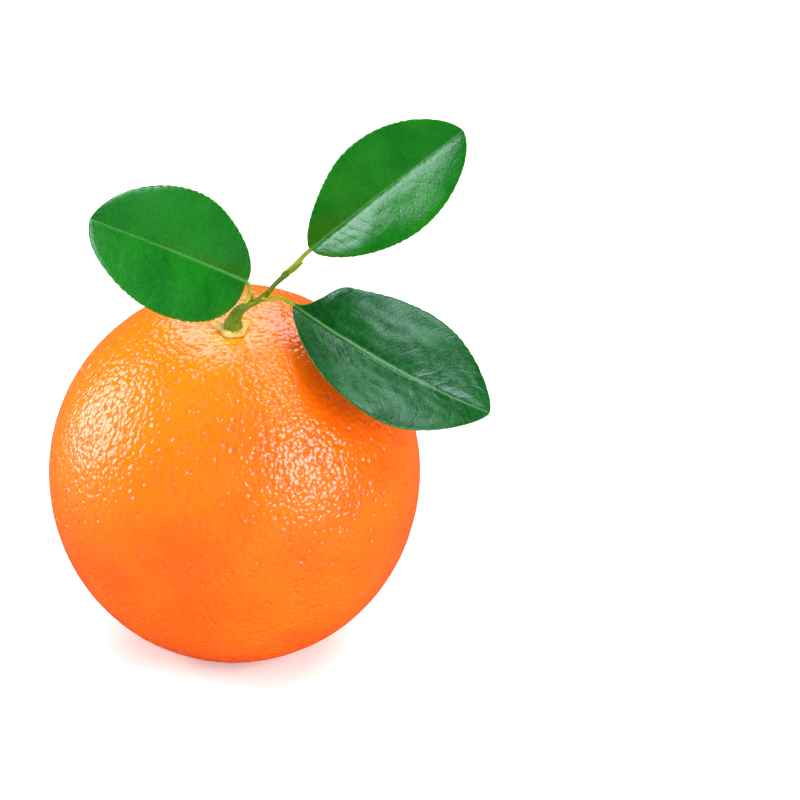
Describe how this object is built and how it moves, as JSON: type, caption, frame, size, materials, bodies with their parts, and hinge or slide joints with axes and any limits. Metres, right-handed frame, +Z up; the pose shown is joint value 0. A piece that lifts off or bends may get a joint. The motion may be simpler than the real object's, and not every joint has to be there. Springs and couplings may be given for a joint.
{
  "type": "orange",
  "caption": "Whole sweet orange as picked, with its calyx, stalk and a short leafy twig, resting on a small flat spot.",
  "frame": {"origin": "middle of the small flat spot that the fruit rests on", "axes": "+Z up out of the surface it rests on; the stem end leans a little towards -Y; +X towards the side that the twig grows to"},
  "size_m": [0.0948, 0.0801, 0.1307],
  "materials": {
    "rind": "waxy, pitted with oil glands, satin gloss",
    "leaf": "glossy cuticle above, paler and dull beneath",
    "leaf_stalk": "smooth, satin, yellow-green",
    "green_bark": "ridged young bark, dull",
    "calyx": "dry, dull, pale"
  },
  "bodies": {
    "root": {"fruit": "rind", "calyx": "calyx", "fruit_stalk": "green_bark", "twig": "green_bark", "petiole_left": "leaf_stalk", "petiole_right": "leaf_stalk", "petiole_upper": "leaf_stalk", "leaf_left": "leaf", "leaf_right": "leaf", "leaf_upper": "leaf", "bud_left": "green_bark", "bud_right": "green_bark", "bud_tip": "green_bark"}
  },
  "joints": []
}
